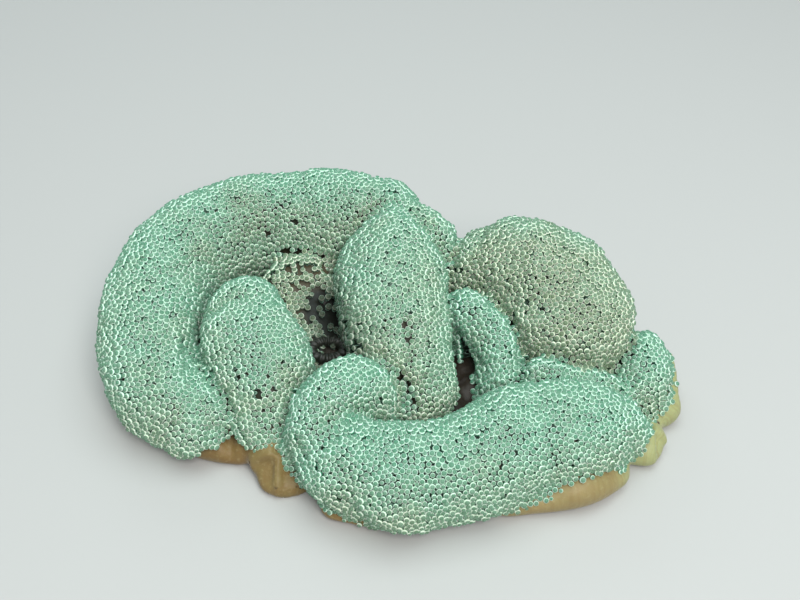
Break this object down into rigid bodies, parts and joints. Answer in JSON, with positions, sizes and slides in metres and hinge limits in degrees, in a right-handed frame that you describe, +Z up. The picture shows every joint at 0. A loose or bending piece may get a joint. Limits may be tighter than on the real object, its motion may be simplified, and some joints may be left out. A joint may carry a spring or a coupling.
{
  "type": "sea anemone",
  "caption": "Life-size still model of a folded carpet anemone with a dense coat of short bead-tipped green tentacles, lying on the floor.",
  "frame": {"origin": "on the floor, under the middle of the anemone's bounding box", "axes": "+Z up; +X along the animal's longest side, towards the broad domed fold; -Y is the front, where the long front fold lies"},
  "size_m": [0.2775, 0.2069, 0.0687],
  "materials": {
    "tentacles": "soft wet flesh covered in bead-tipped tentacles, grey-green with pale mint rims",
    "bare_disc": "soft wet flesh, dark olive brown, with fewer tentacles than the folds",
    "lips": "soft wet flesh, dark olive",
    "underside": "smooth soft flesh, tan, faintly ribbed with a few brown warts"
  },
  "bodies": {
    "root": {"fold_centre": "tentacles", "fold_inner_left": "tentacles", "fold_curl": "tentacles", "fold_front_left": "tentacles", "fold_front": "tentacles", "fold_front_right": "tentacles", "fold_tongue": "tentacles", "fold_right_back": "tentacles", "fold_right": "tentacles", "fold_right_edge": "tentacles", "fold_front_ruffle": "tentacles", "fold_left_end": "tentacles", "fold_left": "tentacles", "fold_back_left": "tentacles", "fold_back": "tentacles", "fold_back_right": "tentacles", "oral_disc": "bare_disc", "mouth": "lips", "column": "underside", "underside_front": "underside", "underside_right": "underside", "underside_right_knob": "underside", "underside_left_flap": "underside", "underside_left": "underside", "underside_front_left": "underside", "underside_left_side": "underside", "underside_back": "underside", "underside_back_right": "underside"}
  },
  "joints": []
}
